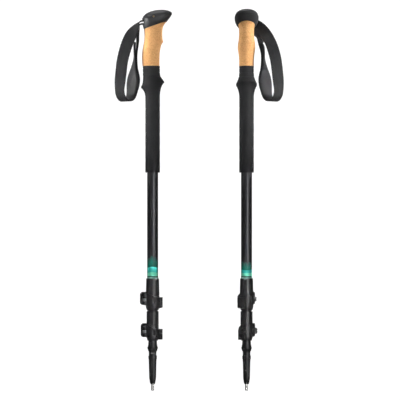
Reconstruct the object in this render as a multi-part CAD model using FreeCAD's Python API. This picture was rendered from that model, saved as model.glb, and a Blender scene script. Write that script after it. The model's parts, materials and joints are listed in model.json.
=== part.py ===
"""A pair of three-section trekking poles, collapsed and standing upright side by side.

Millimetres, +Z up. Each pole is built about its own axis with its nose to +X and its lock levers
across -Y. The grip and the locks are then turned about the axis and moved to the pole's place.
The two straps are laid out where they hang.
"""
import FreeCAD, Part
import math
import os

os.makedirs("parts", exist_ok=True)

V = FreeCAD.Vector
UP = V(0, 0, 1)

# ---- driving dimensions ------------------------------------------------------------------
POLE_SPACING = 154.0
GRIP_TURN = {"left": 0.0, "right": -90.0}     # degrees about Z; the right grip's nose faces front
LOCK_TURN = {"left": 0.0, "right": -112.0}    # the locks are turned a little on their tubes

UPPER_TUBE_R, UPPER_BORE_R = 9.0, 8.3
MIDDLE_TUBE_R, MIDDLE_BORE_R = 8.0, 7.3
LOWER_TUBE_R, LOWER_BORE_R = 7.0, 6.3
RUNNING_GAP = 0.05
CLEAR_GAP = 0.3

FOAM_BOTTOM, FOAM_TOP = 358.0, 532.0
CORK_TOP_FRONT = 606.0
TUBE_TOP = 588.0
CORE_R = 10.0
CORE_TOP = 596.0

MIDDLE_TUBE_Z = (108.0, 575.0)
LOWER_TUBE_Z = (67.0, 560.0)
BUSHING_LENGTH = 30.0
BUSHING_RIM = 2.0

HEAD_PLANE_REAR = V(-14.0, 0, 592.4)      # the slanted joint between head and cork
HEAD_PLANE_FRONT = V(23.2, 0, 604.8)
SLOT_HALF_WIDTH, SLOT_Z = 10.9, (599.6, 607.9)
SLOT_MOUTH, SLOT_MOUTH_R = V(-18.5, -SLOT_HALF_WIDTH, 603.4), 5.2
STRAP_HINGE = V(-18.5, 0, 603.0)
STRAP_PIN, STRAP_PIN_R = V(2.0, 0, 612.0), 1.5
STRAP_WRAP_R, PIN_ROOM_R = 3.6, 4.2       # the strap's turn round the pin, and the room for it

WEB_WIDTH, WEB_THICK = 20.0, 1.8
PAD_THICK = 3.6

UPPER_LOCK = dict(
    name="upper", top=184.0, seam=156.0, bottom=131.5, top_r=10.6, seam_r=11.2, foot_r=9.4,
    seat_r=UPPER_TUBE_R, slide_r=MIDDLE_TUBE_R + RUNNING_GAP, screw_z=149.5, pivot_y=-9.4,
    ear_z=(140.7, 161.5), ear_x=-20.7, ear_y=7.3, knob_y=11.9, knob_r=3.7, lever_r=15.0,
    lever_end=16.5, lever_top=((-17, 160), (-7, 160), (0, 156), (10, 153), (18, 153)),
    lever_foot=((18, 137), (11, 135), (-9, 140), (-17, 141)))
LOWER_LOCK = dict(
    name="lower", top=130.4, seam=108.0, bottom=82.0, top_r=9.9, seam_r=10.0, foot_r=8.6,
    seat_r=MIDDLE_TUBE_R, slide_r=LOWER_TUBE_R + RUNNING_GAP, screw_z=97.5, pivot_y=-7.9,
    ear_z=(87.7, 110.0), ear_x=-19.5, ear_y=8.0, knob_y=12.9, knob_r=5.0, lever_r=13.2,
    lever_end=16.4, lever_top=((-17, 108), (-8, 108), (0, 104), (10, 101), (18, 101)),
    lever_foot=((18, 84), (10, 84), (-9, 88), (-17, 89)))
PIVOT_X = -12.5
BARREL_R = 2.4
LEVER_HEAD_R = 4.0
SCREW_R = 1.7
EAR_HOLE_R = 2.0
WASHER_THICK = 1.0
WASHER_HOLE_R = 1.85
SPLIT_WIDTH = 1.4

TIP_R, TIP_LENGTH = 2.3, 10.7
TIP_SHANK_R, TIP_SHANK_TOP = 1.8, 26.0
BASKET_SEAT_R, BASKET_SEAT_Z = 7.05, (52.5, 57.0)
SPIGOT_TOP = 120.0
FLUTES, FLUTE_R, FLUTE_CIRCLE_R = 6, 1.5, 7.0


# ---- helpers -----------------------------------------------------------------------------
def disc(radius, z_low, z_high, x=0.0, y=0.0):
    return Part.makeCylinder(radius, z_high - z_low, V(x, y, z_low), UP)


def tube(outer, inner, z_low, z_high):
    return disc(outer, z_low, z_high).cut(disc(inner, z_low - 1, z_high + 1))


def rod_along_y(radius, x, z, y_low, y_high):
    return Part.makeCylinder(radius, y_high - y_low, V(x, y_low, z), V(0, 1, 0))


def box(x, y, z):
    return Part.makeBox(x[1] - x[0], y[1] - y[0], z[1] - z[0], V(x[0], y[0], z[0]))


def revolve(profile):
    """A solid of revolution about the pole's axis from (radius, z) points."""
    points = [V(r, 0, z) for r, z in profile]
    face = Part.Face(Part.makePolygon(points + points[:1]))
    return face.revolve(V(0, 0, 0), UP, 360)


def extrude_front(outline, y_low, y_high):
    """An outline of (x, z) points, extruded along Y."""
    points = [V(x, y_low, z) for x, z in outline]
    face = Part.Face(Part.makePolygon(points + points[:1]))
    return face.extrude(V(0, y_high - y_low, 0))


def oval(z, rear, front, half_width, squareness=2.0, count=28):
    """A closed smooth section at height z: an ellipse, or squarer with a higher squareness."""
    middle, half_length = (rear + front) / 2, (front - rear) / 2
    points = []
    for step in range(count):
        angle = 2 * math.pi * step / count
        c, s = math.cos(angle), math.sin(angle)
        power = 2 / squareness
        points.append(V(middle + half_length * math.copysign(abs(c) ** power, c),
                        half_width * math.copysign(abs(s) ** power, s), z))
    curve = Part.BSplineCurve()
    curve.interpolate(Points=points, PeriodicFlag=True)
    return Part.Wire([curve.toShape()])


def loft(sections, ruled=True, squareness=2.0):
    return Part.makeLoft([oval(*s, squareness=squareness) for s in sections], True, ruled)


def below_head_plane():
    """A big block whose top is the slanted joint between the head and the cork."""
    along = HEAD_PLANE_FRONT - HEAD_PLANE_REAR
    slope = along.z / along.x
    reach, low = 60.0, 480.0
    left_top, right_top = (HEAD_PLANE_REAR.z + slope * (x - HEAD_PLANE_REAR.x)
                           for x in (-reach, reach))
    return extrude_front([(-reach, low), (reach, low), (reach, right_top), (-reach, left_top)],
                         -40, 40)


# ---- grip --------------------------------------------------------------------------------
def strap_slot():
    """The space behind the head where the strap comes out and swings."""
    sides = (-SLOT_HALF_WIDTH, SLOT_HALF_WIDTH)
    mouth = Part.makeCylinder(SLOT_MOUTH_R, 2 * SLOT_HALF_WIDTH, SLOT_MOUTH, V(0, 1, 0))
    run = box((-20, 0.8), sides, SLOT_Z)
    neck = box((-1.3, 0.8), sides, (SLOT_Z[0], 610.0))
    pin_room = rod_along_y(PIN_ROOM_R, STRAP_PIN.x, STRAP_PIN.z, *sides)
    return mouth.fuse([run, neck, pin_room])


def core_tongue(grow=0.0):
    return box((6.4 - grow, 9.0 + grow), (-4.5 - grow, 4.5 + grow), (CORE_TOP - 2, 606 + grow))


def grip_head():
    dome = loft([
        (590.0, -14.2, 18.0, 13.6), (597.7, -15.6, 21.0, 16.0), (602.7, -17.2, 23.2, 18.8),
        (607.5, -17.6, 25.2, 19.7), (612.0, -17.0, 28.6, 19.6), (617.5, -12.8, 32.2, 17.5),
        (620.5, -7.8, 30.2, 14.7), (622.6, -2.0, 25.7, 11.5), (624.2, 6.0, 18.0, 5.0),
    ], ruled=False, squareness=2.3)
    head = dome.cut(below_head_plane())
    head = head.cut(disc(CORE_R, 580, CORE_TOP)).cut(core_tongue())
    pin_bore = rod_along_y(STRAP_PIN_R, STRAP_PIN.x, STRAP_PIN.z, -30, 30)
    return head.cut(strap_slot()).cut(pin_bore)


def strap_pin():
    return rod_along_y(STRAP_PIN_R, STRAP_PIN.x, STRAP_PIN.z, -18.6, 18.6)


def strap_wedge():
    outline = [(-10.8, 602.3), (-10.8, 605.4), (-1.5, 604.6), (-1.5, 603.1)]
    return extrude_front(outline, -9.6, 9.6)


def strap_tail():
    """The end of the webbing inside the head: over the wedge, round the pin and back."""
    half = WEB_WIDTH / 2 - 0.4
    wrap = rod_along_y(STRAP_WRAP_R, STRAP_PIN.x, STRAP_PIN.z, -half, half)
    upper = box((-11.5, 0.0), (-half, half), (605.6, 607.4))
    lower = extrude_front([(-11.5, 600.1), (-11.5, 601.9), (-0.9, 601.9), (-0.9, 608.0),
                           (0.6, 609.3), (0.6, 600.1)], -half, half)
    tail = wrap.fuse([upper, lower])
    return tail.cut(rod_along_y(STRAP_PIN_R, STRAP_PIN.x, STRAP_PIN.z, -30, 30))


def grip_core():
    sleeve = tube(CORE_R, UPPER_TUBE_R, FOAM_TOP, TUBE_TOP)
    cap = disc(CORE_R, TUBE_TOP, CORE_TOP)
    return sleeve.fuse([cap, core_tongue()])


def cork_grip():
    body = loft([
        (532.0, -16.6, 11.2, 12.0), (542.0, -17.3, 11.3, 12.0), (552.0, -17.1, 11.6, 13.0),
        (560.0, -16.2, 12.6, 14.3), (566.5, -15.0, 14.2, 14.2), (571.5, -14.2, 17.4, 13.6),
        (576.0, -13.6, 16.2, 13.0), (588.0, -13.5, 16.0, 12.3), (593.0, -13.7, 16.4, 12.3),
        (598.0, -13.9, 18.0, 12.6), (CORK_TOP_FRONT, -14.0, 23.4, 13.6),
    ])
    body = body.common(below_head_plane())
    return body.cut(disc(CORE_R, 500, CORE_TOP)).cut(core_tongue())


def foam_grip():
    body = loft([
        (FOAM_BOTTOM, -11.0, 11.0, 11.0), (360.0, -12.0, 12.0, 12.0), (483.0, -12.0, 12.0, 12.0),
        (488.0, -13.0, 12.2, 12.2), (492.8, -15.5, 13.3, 14.0), (497.2, -19.0, 14.9, 15.6),
        (502.7, -17.2, 17.6, 17.3), (505.5, -16.4, 19.4, 16.6), (507.6, -15.7, 18.6, 15.6),
        (512.5, -15.4, 15.0, 13.4), (517.0, -16.0, 12.2, 12.0), (FOAM_TOP, -16.0, 12.0, 12.0),
    ])
    return body.cut(disc(UPPER_TUBE_R, FOAM_BOTTOM - 1, FOAM_TOP + 1))


# ---- strap -------------------------------------------------------------------------------
# Each station is a point on the strap's middle line, the way its width points (made square to
# the run in strip()), its width and its thickness. Points are about the pole's own axis.
def level(heading):
    """A level direction, in degrees from +X."""
    return (math.cos(math.radians(heading)), math.sin(math.radians(heading)), 0.0)


OUTER_TOP = [
    ((-20.6, 0.0, 605.4), level(-88), 18.0, WEB_THICK),
    ((-25.4, -0.8, 600.6), level(-66), 19.0, WEB_THICK),
    ((-29.9, -2.8, 592.5), level(-34), WEB_WIDTH, WEB_THICK),
    ((-35.6, -5.5, 582.0), level(-12), WEB_WIDTH, WEB_THICK),
    ((-41.2, -8.0, 569.0), level(-9), WEB_WIDTH, WEB_THICK),
]
OUTER_RUN = [
    ((-45.0, -10.3, 557.0), level(-13), WEB_WIDTH, WEB_THICK),
    ((-48.9, -11.8, 541.0), level(-19), WEB_WIDTH, WEB_THICK),
    ((-51.2, -12.5, 523.0), level(-21), WEB_WIDTH, WEB_THICK),
    ((-52.8, -12.3, 507.0), level(-24), WEB_WIDTH, WEB_THICK),
]
INNER_TOP = [
    ((-20.6, 0.0, 600.8), level(-88), 18.0, WEB_THICK),
    ((-23.2, 1.2, 592.0), level(-78), 18.0, WEB_THICK),
    ((-25.0, 2.6, 580.0), level(-74), 18.0, WEB_THICK),
    ((-26.2, 4.2, 566.0), level(-79), 18.0, 2.2),
]
INNER_RUN = [
    ((-28.0, 6.0, 551.0), level(-80), 19.0, 2.6),
    ((-29.2, 8.0, 537.0), level(-70), 20.5, 3.0),
    ((-30.2, 9.6, 524.0), level(-54), 23.5, PAD_THICK),
    ((-31.3, 10.6, 512.0), level(-36), 26.0, PAD_THICK),
    ((-32.5, 11.0, 502.0), level(-32), 27.0, PAD_THICK),
]
# The right strap leaves the back of its head, rolls on edge and comes round to the outer side.
RIGHT_OUTER_TOP = [
    ((0.0, 20.6, 605.4), (-1, 0, 0), 18.0, WEB_THICK),
    ((1.2, 25.0, 604.9), (-0.93, 0.1, 0.35), 18.0, WEB_THICK),
    ((4.8, 28.3, 604.2), (-0.6, 0.1, 0.8), 18.0, WEB_THICK),
    ((10.0, 28.6, 603.1), (-0.1, 0, 1), 18.5, WEB_THICK),
    ((16.2, 26.0, 601.2), (0.45, 0, 0.86), 19.0, WEB_THICK),
    ((23.2, 21.0, 595.8), (0.68, 0, 0.73), 19.5, WEB_THICK),
    ((30.0, 13.5, 587.3), (0.8, 0.1, 0.58), WEB_WIDTH, WEB_THICK),
    ((35.6, 3.5, 578.3), (0.92, 0.25, 0.3), WEB_WIDTH, WEB_THICK),
    ((40.2, -4.5, 568.5), (0.96, 0.2, 0.08), WEB_WIDTH, WEB_THICK),
]
RIGHT_INNER_TOP = [
    ((0.0, 20.6, 601.2), (-1, 0, 0), 18.0, WEB_THICK),
    ((1.0, 27.0, 600.8), (-0.93, 0.1, 0.35), 18.0, WEB_THICK),
    ((4.8, 31.6, 600.0), (-0.6, 0.1, 0.8), 18.0, WEB_THICK),
    ((10.5, 32.0, 598.6), (-0.1, 0, 1), 18.0, WEB_THICK),
    ((16.0, 29.4, 595.6), (0.3, 0, 0.95), 18.0, WEB_THICK),
    ((20.8, 23.8, 589.5), (0.45, 0.2, 0.8), 18.0, WEB_THICK),
    ((22.8, 16.5, 580.0), (0.45, 0.65, 0.45), 18.0, WEB_THICK),
    ((23.4, 10.3, 568.0), (0.25, 0.95, 0.1), 18.0, 2.2),
]
RIGHT_SHIFT = -1.2                    # the right loop hangs this much nearer its pole
TURN_CENTRE = V(-43.75, -0.5, 490.5)
TURN_HALF = V(-9.75, -11.5, 0)        # from the turn's middle to the outer run
PAD_END_WIDTH, PAD_FULL_WIDTH = 20.0, 26.5
TURN_MEETING = 95.0                   # degrees round the turn, where webbing and pad meet


def turn_stations(start, width_at, thick, count=7):
    """Stations round the loop's lower turn, from start degrees (0 is the outer run) to where
    the webbing and the pad meet."""
    across = level(math.degrees(math.atan2(TURN_HALF.x, -TURN_HALF.y)))
    stations = []
    for step in range(count):
        degrees = start + (TURN_MEETING - start) * step / (count - 1)
        angle = math.radians(degrees)
        point = TURN_CENTRE + TURN_HALF * math.cos(angle) - UP * TURN_HALF.Length * math.sin(angle)
        stations.append((tuple(point), across, width_at(degrees), thick))
    return stations


def strip(stations):
    """A flat strap through the stations, each a rectangle square to the strap's run."""
    centres = [V(*place) for place, _, _, _ in stations]
    sections = []
    for index, (_, hint, width, thick) in enumerate(stations):
        before = centres[max(index - 1, 0)]
        after = centres[min(index + 1, len(centres) - 1)]
        run = (after - before).normalize()
        hint = V(*hint)
        across = (hint - run * hint.dot(run)).normalize()
        face = run.cross(across).normalize()
        corners = [centres[index] + across * (width / 2 * a) + face * (thick / 2 * b)
                   for a, b in ((-1, -1), (1, -1), (1, 1), (-1, 1))]
        sections.append(Part.makePolygon(corners + corners[:1]))
    return Part.makeLoft(sections, True, True)


def pad_width(degrees):
    share = (degrees - TURN_MEETING) / (180 - TURN_MEETING)
    return PAD_END_WIDTH + (PAD_FULL_WIDTH - PAD_END_WIDTH) * share


def mirrored(stations):
    """The same stations on the other side of the pole."""
    return [((RIGHT_SHIFT - x, y, z), (wx, -wy, -wz), width, thick)
            for (x, y, z), (wx, wy, wz), width, thick in stations]


def straps():
    """The webbing and pad of the left strap, then of the right one."""
    web_end = OUTER_RUN + turn_stations(0, lambda degrees: WEB_WIDTH, WEB_THICK)
    pad_end = INNER_RUN + turn_stations(180, pad_width, PAD_THICK)
    left = strip(OUTER_TOP + web_end), strip(INNER_TOP + pad_end)
    right = strip(RIGHT_OUTER_TOP + mirrored(web_end)), strip(RIGHT_INNER_TOP + mirrored(pad_end))
    return {"left": left, "right": right}


# ---- locks -------------------------------------------------------------------------------
def rounded_block(x, y, z, radius):
    """A block whose four edges along Y are rounded."""
    block = box(x, y, z)
    edges = [e for e in block.Edges if abs(e.tangentAt(e.FirstParameter).y) > 0.99]
    return block.makeFillet(radius, edges)


def washer_face(lock):
    return lock["pivot_y"] + LEVER_HEAD_R + CLEAR_GAP


def clamp(lock):
    top, seam, bottom = lock["top"], lock["seam"], lock["bottom"]
    body = revolve([(0, bottom), (lock["foot_r"], bottom), (lock["seam_r"], bottom + 5.5),
                    (lock["seam_r"], seam), (lock["top_r"], top - 1.2),
                    (lock["top_r"] - 0.7, top), (0, top)])
    groove = tube(lock["seam_r"] + 2, lock["seam_r"] - 0.4, seam - 0.4, seam + 0.4)
    ears = rounded_block((lock["ear_x"], -5.0), (washer_face(lock) + WASHER_THICK, lock["ear_y"]),
                         lock["ear_z"], 4.5)
    body = body.cut(groove).fuse(ears)
    split = box((-30, -5), (-SPLIT_WIDTH / 2, SPLIT_WIDTH / 2),
                (bottom - 1, max(seam, lock["ear_z"][1]) + 1))
    body = body.cut([disc(lock["slide_r"], bottom - 1, seam), disc(lock["seat_r"], seam, top + 1),
                     rod_along_y(EAR_HOLE_R, PIVOT_X, lock["screw_z"], -20, 20), split])
    return body


def cam_washer(lock):
    face, screw_z = washer_face(lock), lock["screw_z"]
    plate = rounded_block((PIVOT_X - 4.4, PIVOT_X + 4.0), (face, face + WASHER_THICK),
                          (screw_z - 6, screw_z + 6), 1.5)
    plate = plate.cut(disc(lock["seam_r"] + RUNNING_GAP, screw_z - 10, screw_z + 10))
    return plate.cut(rod_along_y(WASHER_HOLE_R, PIVOT_X, screw_z, -20, 20))


def barrel_nut(lock):
    body = disc(BARREL_R, lock["screw_z"] - 7.6, lock["screw_z"] + 8.4, PIVOT_X, lock["pivot_y"])
    return body.cut(rod_along_y(SCREW_R + RUNNING_GAP, PIVOT_X, lock["screw_z"], -20, 20))


def lever(lock):
    inner, outer, screw_z = lock["seam_r"] + 0.4, lock["lever_r"], lock["screw_z"]
    low, high = lock["ear_z"]
    pivot_y = lock["pivot_y"]
    arm = tube(outer, inner, low - 10, high + 10)
    arm = arm.cut(box((-30, 30), (2.4, 30), (low - 12, high + 12)))
    arm = arm.cut(box((-30, PIVOT_X + 3.6), (pivot_y + 0.6, 30), (low - 12, high + 12)))
    arm = arm.cut(box((-30, PIVOT_X), (-30, 30), (low - 12, high + 12)))
    head = disc(LEVER_HEAD_R, low - 10, high + 10, PIVOT_X, pivot_y)
    tab = box((11.0, lock["lever_end"]), (-8.6, 2.4), (low - 10, high + 10))
    tab = tab.cut(disc(inner, low - 12, high + 12))
    outline = list(lock["lever_top"]) + list(lock["lever_foot"])
    body = arm.fuse([head, tab]).common(extrude_front(outline, -25, 10))
    tab_top, tab_foot = lock["lever_top"][-1][1], lock["lever_foot"][0][1]
    for share in (0.28, 0.72):
        middle = tab_foot + share * (tab_top - tab_foot)
        body = body.cut(box((12.6, 15.2), (-12, -5.6), (middle - 2, middle + 2)))
    recess_z = (tab_top + tab_foot) / 2 + 0.5
    recess = box((0.2, 5.0), (-20, -outer + 1.0), (recess_z, recess_z + 6.5))
    recess = recess.fuse(rod_along_y(2.4, 2.6, recess_z, -20, -outer + 1.0))
    fork = box((-30, PIVOT_X + 2.2), (-30, 0), (screw_z - 2.1, screw_z + 2.1))
    bore = disc(BARREL_R + RUNNING_GAP, low - 12, high + 12, PIVOT_X, pivot_y)
    return body.cut([recess, fork, bore])


def tension_screw(lock):
    """The screw that sets the clamp's grip: a knurled head outside the ear, a shank to the nut."""
    face = lock["ear_y"] + RUNNING_GAP
    knob = rod_along_y(lock["knob_r"], PIVOT_X, lock["screw_z"], face, lock["knob_y"])
    for step in range(12):
        angle = 2 * math.pi * step / 12
        groove_r = lock["knob_r"] + 0.35
        knob = knob.cut(rod_along_y(0.7, PIVOT_X + groove_r * math.cos(angle),
                                    lock["screw_z"] + groove_r * math.sin(angle), 0, 20))
    coin_slot = box((PIVOT_X - 6, PIVOT_X + 6), (lock["knob_y"] - 1.1, 20),
                    (lock["screw_z"] - 0.6, lock["screw_z"] + 0.6))
    shank = rod_along_y(SCREW_R, PIVOT_X, lock["screw_z"], lock["pivot_y"] - 1.2, face)
    return knob.cut(coin_slot).fuse(shank)


# ---- tubes and tip -----------------------------------------------------------------------
def bushing(tube_r, outer_r, bore_r, top):
    """A thin guide sleeve on a tube's upper end, with a rim over the end."""
    sleeve = tube(outer_r, tube_r, top - BUSHING_LENGTH, top)
    return sleeve.fuse(tube(outer_r, bore_r - 0.8, top, top + BUSHING_RIM))


def tip_collar():
    body = revolve([(0, 64.2), (6.9, 64.2), (7.6, 66.4), (8.9, 69.7), (7.8, 73.2), (7.2, 76),
                    (7.2, 79), (0, 79)])
    flats = 10
    radius = 8.5 / math.cos(math.pi / flats)
    corners = [V(radius * math.cos(2 * math.pi * i / flats),
                 radius * math.sin(2 * math.pi * i / flats), 60) for i in range(flats)]
    prism = Part.Face(Part.makePolygon(corners + corners[:1])).extrude(V(0, 0, 25))
    body = body.common(prism)
    return body.cut([disc(6.25, 60, 68), disc(LOWER_TUBE_R, LOWER_TUBE_Z[0], 80)])


def ferrule():
    seat_low, seat_high = BASKET_SEAT_Z
    body = revolve([
        (0, TIP_LENGTH), (3.7, TIP_LENGTH), (4.7, 14.0), (5.6, 20.5), (6.0, 33.6),
        (6.35, 46.7), (6.5, 50.5), (BASKET_SEAT_R, seat_low), (BASKET_SEAT_R, seat_high),
        (6.25, seat_high + 0.8), (6.25, LOWER_TUBE_Z[0]), (LOWER_BORE_R, LOWER_TUBE_Z[0]),
        (LOWER_BORE_R, SPIGOT_TOP - 3), (5.6, SPIGOT_TOP), (0, SPIGOT_TOP),
    ])
    body = body.cut(disc(TIP_SHANK_R, 0, TIP_SHANK_TOP))
    for step in range(FLUTES):
        angle = 2 * math.pi * (step + 0.5) / FLUTES
        body = body.cut(disc(FLUTE_R, 13, 48.5, FLUTE_CIRCLE_R * math.cos(angle),
                             FLUTE_CIRCLE_R * math.sin(angle)))
    return body


def carbide_tip():
    return revolve([(0, 1.4), (1.7, 0), (2.1, 0.2), (TIP_R, 1.0), (TIP_R, TIP_LENGTH),
                    (TIP_SHANK_R, TIP_LENGTH), (TIP_SHANK_R, TIP_SHANK_TOP), (0, TIP_SHANK_TOP)])


# ---- the pair ----------------------------------------------------------------------------
def upper_and_tubes():
    """Every piece of a pole but its locks and strap."""
    return {
        "grip_head": grip_head(), "strap_pin": strap_pin(), "strap_wedge": strap_wedge(),
        "strap_tail": strap_tail(), "grip_core": grip_core(), "cork_grip": cork_grip(),
        "foam_grip": foam_grip(),
        "upper_tube": tube(UPPER_TUBE_R, UPPER_BORE_R, UPPER_LOCK["seam"], TUBE_TOP),
        "middle_tube": tube(MIDDLE_TUBE_R, MIDDLE_BORE_R, *MIDDLE_TUBE_Z),
        "lower_tube": tube(LOWER_TUBE_R, LOWER_BORE_R, *LOWER_TUBE_Z),
        "middle_bushing": bushing(MIDDLE_TUBE_R, UPPER_BORE_R - RUNNING_GAP, MIDDLE_BORE_R,
                                  MIDDLE_TUBE_Z[1]),
        "lower_bushing": bushing(LOWER_TUBE_R, MIDDLE_BORE_R - RUNNING_GAP, LOWER_BORE_R,
                                 LOWER_TUBE_Z[1]),
        "tip_collar": tip_collar(), "ferrule": ferrule(), "carbide_tip": carbide_tip(),
    }


def lock_pieces():
    pieces = {}
    for lock in (UPPER_LOCK, LOWER_LOCK):
        name = lock["name"]
        pieces[name + "_clamp"] = clamp(lock)
        pieces[name + "_cam_washer"] = cam_washer(lock)
        pieces[name + "_barrel_nut"] = barrel_nut(lock)
        pieces[name + "_lever"] = lever(lock)
        pieces[name + "_tension_screw"] = tension_screw(lock)
    return pieces


def main():
    upright, locks, loops = upper_and_tubes(), lock_pieces(), straps()
    shapes, marks = {}, {}
    for side, x in (("left", -POLE_SPACING / 2), ("right", POLE_SPACING / 2)):
        grip_place = FreeCAD.Placement(V(x, 0, 0), FreeCAD.Rotation(UP, GRIP_TURN[side]))
        lock_place = FreeCAD.Placement(V(x, 0, 0), FreeCAD.Rotation(UP, LOCK_TURN[side]))
        for name, shape in upright.items():
            shapes[side + "_" + name] = shape.transformed(grip_place.toMatrix(), True)
        for name, shape in locks.items():
            shapes[side + "_" + name] = shape.transformed(lock_place.toMatrix(), True)
        for name, shape in zip(("strap_webbing", "strap_pad"), loops[side]):
            shapes[side + "_" + name] = shape.translated(V(x, 0, 0))
        marks[side + "_axis"] = V(x, 0, 0)
        marks[side + "_strap_hinge"] = grip_place.multVec(STRAP_HINGE)
        marks[side + "_across_lock"] = lock_place.multVec(V(0, 1, 0))
        for lock in (UPPER_LOCK, LOWER_LOCK):
            pivot = V(PIVOT_X, lock["pivot_y"], lock["screw_z"])
            marks[side + "_" + lock["name"] + "_lever"] = lock_place.multVec(pivot)
    whole = Part.makeCompound(list(shapes.values())).optimalBoundingBox(False, False)
    centring = V(-whole.Center.x, -whole.Center.y, -whole.ZMin)
    for node, shape in shapes.items():
        moved = shape.translated(centring)
        if not moved.isValid() or not moved.Solids:
            print("not a valid solid:", node)
        moved.exportStep("parts/" + node + ".step")
    for name, point in marks.items():
        place = point + centring
        print("mark", name, round(place.x, 4), round(place.y, 4), round(place.z, 4))
    print("size", round(whole.XLength, 2), round(whole.YLength, 2), round(whole.ZLength, 2))


main()
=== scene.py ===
"""Looks for a pair of collapsed trekking poles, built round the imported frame.

Lengths are in metres. MM turns millimetres into metres. Each pole has its own axes: x towards the
nose of its grip, y to the nose's left, z up its axis, as local_frame() reads from the frame.
"""
import json
import math
import bmesh
import bpy
import numpy as np
from mathutils import Matrix, Vector

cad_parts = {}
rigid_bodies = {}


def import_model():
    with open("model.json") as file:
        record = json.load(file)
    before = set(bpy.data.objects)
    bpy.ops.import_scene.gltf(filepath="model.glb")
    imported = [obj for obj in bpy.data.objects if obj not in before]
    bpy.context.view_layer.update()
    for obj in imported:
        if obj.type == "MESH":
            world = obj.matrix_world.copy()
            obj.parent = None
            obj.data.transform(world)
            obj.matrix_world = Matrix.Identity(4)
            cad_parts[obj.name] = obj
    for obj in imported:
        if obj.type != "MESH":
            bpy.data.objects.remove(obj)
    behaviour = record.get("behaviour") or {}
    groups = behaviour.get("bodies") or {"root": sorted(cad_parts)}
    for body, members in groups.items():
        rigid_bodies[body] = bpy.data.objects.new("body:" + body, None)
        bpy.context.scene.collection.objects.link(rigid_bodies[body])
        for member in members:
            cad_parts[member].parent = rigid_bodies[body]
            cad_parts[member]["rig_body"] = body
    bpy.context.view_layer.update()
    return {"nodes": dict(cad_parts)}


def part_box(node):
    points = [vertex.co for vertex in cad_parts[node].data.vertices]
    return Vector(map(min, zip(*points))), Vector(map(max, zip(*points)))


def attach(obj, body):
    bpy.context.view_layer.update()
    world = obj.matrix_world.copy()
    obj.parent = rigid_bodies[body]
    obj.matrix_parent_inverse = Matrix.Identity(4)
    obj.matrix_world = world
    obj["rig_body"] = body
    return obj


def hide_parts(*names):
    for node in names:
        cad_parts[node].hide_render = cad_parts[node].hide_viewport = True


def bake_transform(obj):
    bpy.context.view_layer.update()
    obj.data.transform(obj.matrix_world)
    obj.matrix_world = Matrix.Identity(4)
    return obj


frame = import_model()
MM = 0.001
SIDES = ("left", "right")


# ---- places read from the frame ----------------------------------------------------------
def local_frame(side):
    """The matrix from a pole's own axes to the row frame."""
    axis = sum(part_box(side + "_upper_tube"), Vector()) / 2
    nose = sum(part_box(side + "_grip_head"), Vector()) / 2 - axis
    turn = math.atan2(nose.y, nose.x)
    return Matrix.Translation((axis.x, axis.y, 0)) @ Matrix.Rotation(turn, 4, "Z")


FRAMES = {side: local_frame(side) for side in SIDES}


# ---- small mesh tools --------------------------------------------------------------------
def make_object(name, vertices, faces, uvs=None):
    mesh = bpy.data.meshes.new(name)
    mesh.from_pydata([tuple(v) for v in vertices], [], faces)
    mesh.validate()
    if uvs is not None:
        layer = mesh.uv_layers.new(name="UVMap")
        for loop in mesh.loops:
            layer.data[loop.index].uv = uvs[loop.vertex_index]
    for polygon in mesh.polygons:
        polygon.use_smooth = True
    mesh.update()
    thing = bpy.data.objects.new(name, mesh)
    bpy.context.scene.collection.objects.link(thing)
    return thing


def to_row(points, side):
    """Points in millimetres on a pole's own axes, as metres in the row frame."""
    matrix = np.array(FRAMES[side])
    return (np.asarray(points, float) * MM) @ matrix[:3, :3].T + matrix[:3, 3]


def cubic(knots, values, at):
    """A smooth curve through the values, with slopes from the neighbours on each side."""
    knots, values, at = (np.asarray(a, float) for a in (knots, values, at))
    flat = values.ndim == 1
    if flat:
        values = values[:, None]
    slopes = np.empty_like(values)
    steps = np.diff(knots)[:, None]
    chords = np.diff(values, axis=0) / steps
    slopes[0], slopes[-1] = chords[0], chords[-1]
    slopes[1:-1] = (chords[:-1] * steps[1:] + chords[1:] * steps[:-1]) / (steps[:-1] + steps[1:])
    span = np.clip(np.searchsorted(knots, at, side="right") - 1, 0, len(knots) - 2)
    width = steps[span]
    t = ((at - knots[span])[:, None]) / width
    a, b = values[span], values[span + 1]
    sa, sb = slopes[span] * width, slopes[span + 1] * width
    out = ((2 * t**3 - 3 * t**2 + 1) * a + (t**3 - 2 * t**2 + t) * sa
           + (-2 * t**3 + 3 * t**2) * b + (t**3 - t**2) * sb)
    return out[:, 0] if flat else out


def ring_faces(rings, count):
    """Quads between rings of count points each, stacked one after the other."""
    faces = []
    for ring in range(rings - 1):
        for step in range(count):
            here, there = ring * count, (ring + 1) * count
            after = (step + 1) % count
            faces.append((here + step, here + after, there + after, there + step))
    return faces


def capped(rings, count):
    """Faces of a closed tube: the sides and one flat cap on each end."""
    faces = ring_faces(rings, count)
    faces.append(tuple(range(count - 1, -1, -1)))
    faces.append(tuple((rings - 1) * count + step for step in range(count)))
    return faces


def grip_surface(rings, count, levels, squareness=2.0):
    """Points of a grip part. rings are (z front, z rear, x front, x rear, half width) from the
    bottom up; each ring is an oval, tilted if its front and rear stand at different heights."""
    rings = np.asarray(rings, float)
    share = np.linspace(0, len(rings) - 1, levels)
    dense = cubic(np.arange(len(rings)), rings, share)
    angle = np.arange(count) * 2 * math.pi / count
    power = 2 / squareness
    c = np.sign(np.cos(angle)) * np.abs(np.cos(angle)) ** power
    s = np.sign(np.sin(angle)) * np.abs(np.sin(angle)) ** power
    z_front, z_rear, x_front, x_rear, half = (dense[:, [i]] for i in range(5))
    x = (x_front + x_rear) / 2 + (x_front - x_rear) / 2 * c
    y = half * s + 0 * x
    z = (z_front + z_rear) / 2 + (z_front - z_rear) / 2 * c
    return np.stack([x, y, z], axis=2)


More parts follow.
